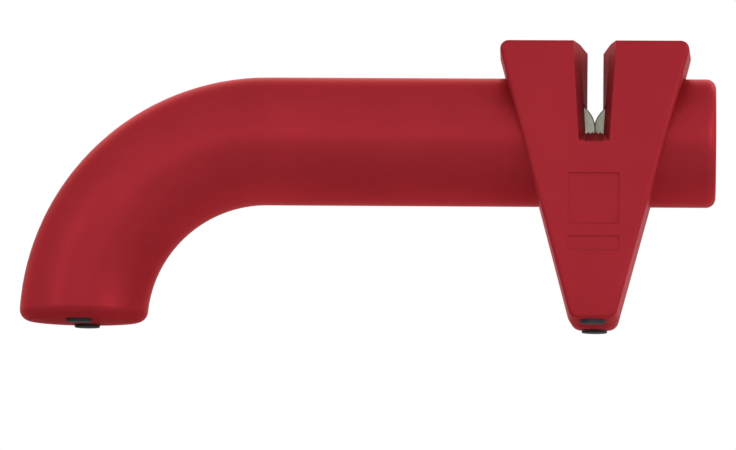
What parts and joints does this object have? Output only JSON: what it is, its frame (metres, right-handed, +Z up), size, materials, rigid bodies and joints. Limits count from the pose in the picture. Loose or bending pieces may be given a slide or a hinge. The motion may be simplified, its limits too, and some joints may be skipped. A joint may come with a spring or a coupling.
{
  "type": "pull-through knife sharpener",
  "caption": "Pull-through knife sharpener: a bent red tube grip on rubber feet, with a V-shaped head across it and steel discs that cross in its knife slot",
  "frame": {"origin": "on the plane that the four rubber feet stand on, under the middle of the whole object", "axes": "+X runs along the grip towards its closed end beside the head, +Z is up, and the front face of the head looks along -Y"},
  "size_m": [0.1949, 0.044, 0.0789],
  "materials": {
    "grip_plastic": "satin red moulded plastic",
    "head_plastic": "satin red moulded plastic",
    "carrier_plastic": "satin red moulded plastic",
    "disc_steel": "ground tool steel",
    "axle_steel": "ground steel pin",
    "spring_steel": "spring steel",
    "zinc_steel": "zinc-plated steel",
    "spacer_plastic": "natural nylon",
    "foot_rubber": "black rubber"
  },
  "bodies": {
    "casing": {"disc_carrier": "carrier_plastic", "foot_handle_front": "foot_rubber", "foot_handle_rear": "foot_rubber", "foot_head_front": "foot_rubber", "foot_head_rear": "foot_rubber", "handle_screws": "zinc_steel", "handle_shell_front": "grip_plastic", "handle_shell_rear": "grip_plastic", "head_cover_front": "head_plastic", "head_cover_rear": "head_plastic", "head_screws": "zinc_steel"},
    "left_stack": {"left_axle": "axle_steel", "left_axle_clips": "spring_steel", "left_disc_1": "disc_steel", "left_disc_2": "disc_steel", "left_disc_3": "disc_steel", "left_disc_4": "disc_steel", "left_end_collar": "spacer_plastic", "left_spacers": "spacer_plastic"},
    "right_stack": {"right_axle": "axle_steel", "right_axle_clips": "spring_steel", "right_disc_1": "disc_steel", "right_disc_2": "disc_steel", "right_disc_3": "disc_steel", "right_disc_4": "disc_steel", "right_end_collar": "spacer_plastic", "right_spacers": "spacer_plastic"}
  },
  "joints": [
    {"name": "left_stack_turn", "type": "hinge", "parent": "casing", "child": "left_stack", "pos_m": [0.05597, 0, 0.05458], "axis": [0, 1, 0], "continuous": true},
    {"name": "right_stack_turn", "type": "hinge", "parent": "casing", "child": "right_stack", "pos_m": [0.07143, 0, 0.05458], "axis": [0, 1, 0], "continuous": true}
  ]
}
